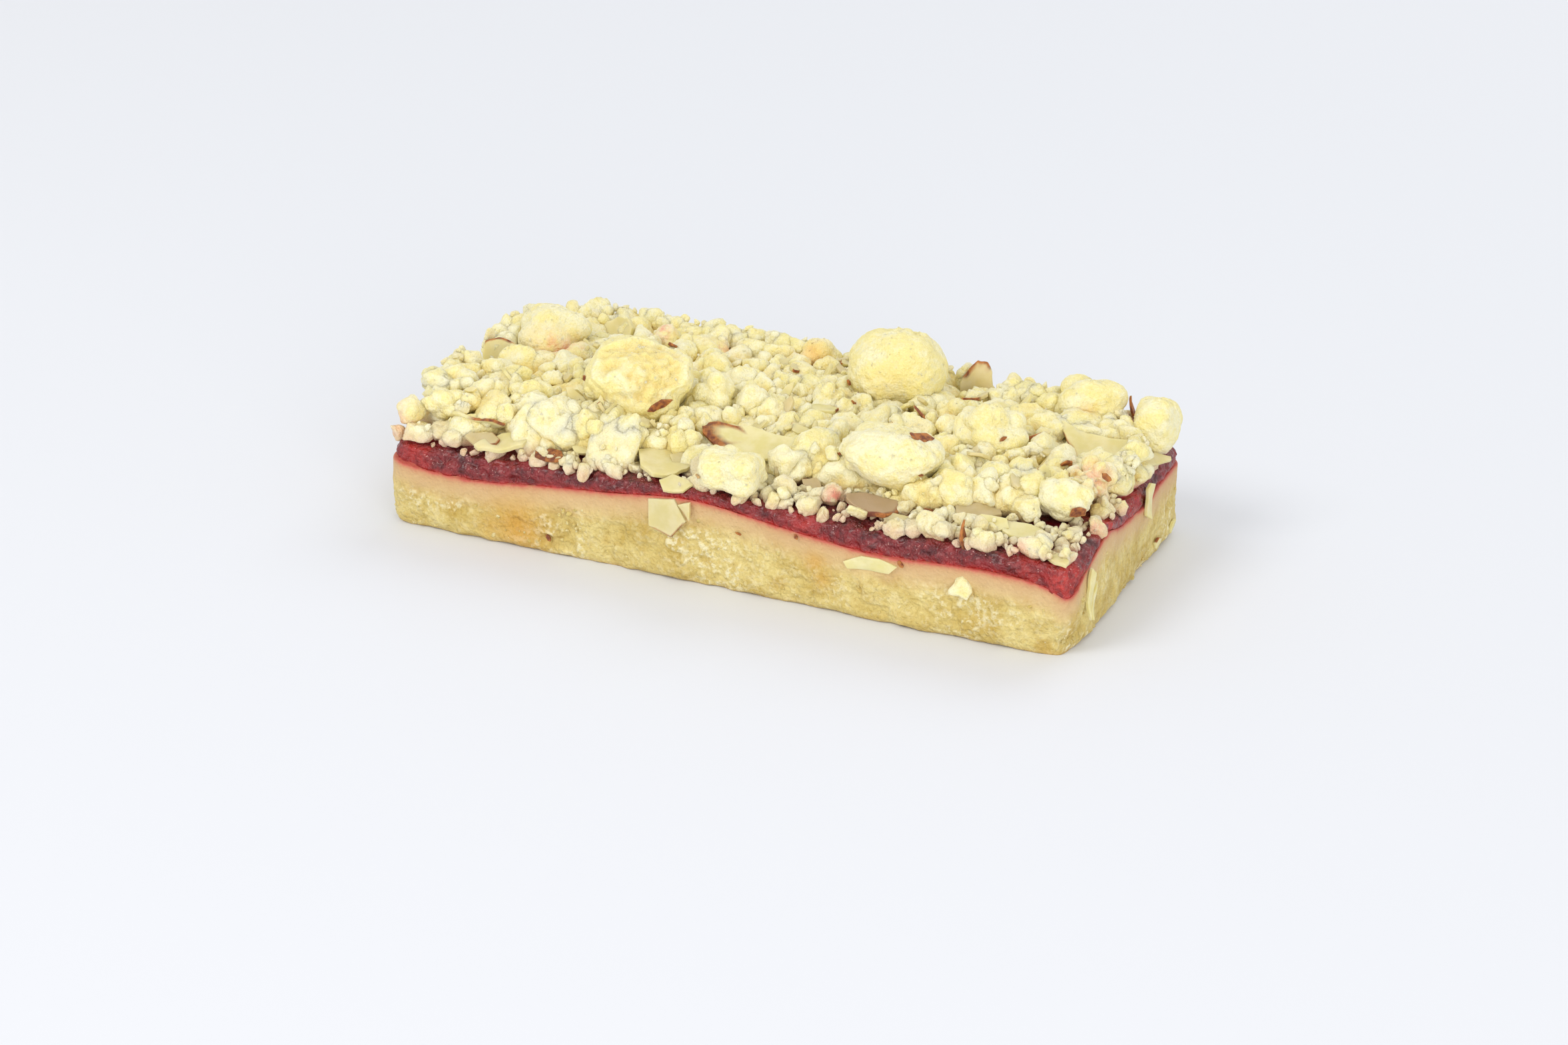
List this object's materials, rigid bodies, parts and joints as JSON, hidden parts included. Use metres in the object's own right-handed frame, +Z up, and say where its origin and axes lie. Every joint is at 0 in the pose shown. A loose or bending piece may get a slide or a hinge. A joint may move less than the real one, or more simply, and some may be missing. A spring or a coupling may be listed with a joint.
{
  "type": "jam bar",
  "caption": "Cut bar of pale shortbread with a layer of red fruit jam and a loose topping of crumble lumps and sliced almonds.",
  "frame": {"origin": "under the middle of the cut slab, on the plane that it rests on", "axes": "+X along the bar's length, -Y the long cut face that shows in the picture, +Z up through the layers"},
  "size_m": [0.1151, 0.0568, 0.0308],
  "materials": {
    "shortbread": "matte, crumbly cut faces with a faint greasy sheen",
    "jam": "glossy, wet, dark red gel with bright edges",
    "crumb": "matte, granular pale crumble",
    "almond": "satin ivory slices with brown skin at the rim"
  },
  "bodies": {
    "root": {"shortbread_base": "shortbread", "jam_layer": "jam", "crumb_topping": "crumb", "crumb_lump_01": "crumb", "crumb_lump_02": "crumb", "crumb_lump_03": "crumb", "crumb_lump_04": "crumb", "crumb_lump_05": "crumb", "crumb_lump_06": "crumb", "crumb_lump_07": "crumb", "crumb_lump_08": "crumb", "crumb_lump_09": "crumb", "crumb_lump_10": "crumb", "crumb_lump_11": "crumb", "crumb_lump_12": "crumb", "crumb_lump_13": "crumb", "crumb_lump_14": "crumb", "crumb_lump_15": "crumb", "crumb_lump_16": "crumb", "crumb_lump_17": "crumb", "crumb_lump_18": "crumb", "almond_slice_01": "almond", "almond_slice_02": "almond", "almond_slice_03": "almond", "almond_slice_04": "almond", "almond_slice_05": "almond", "almond_slice_06": "almond", "almond_slice_07": "almond", "almond_slice_08": "almond", "almond_slice_09": "almond", "almond_slice_10": "almond"}
  },
  "joints": []
}
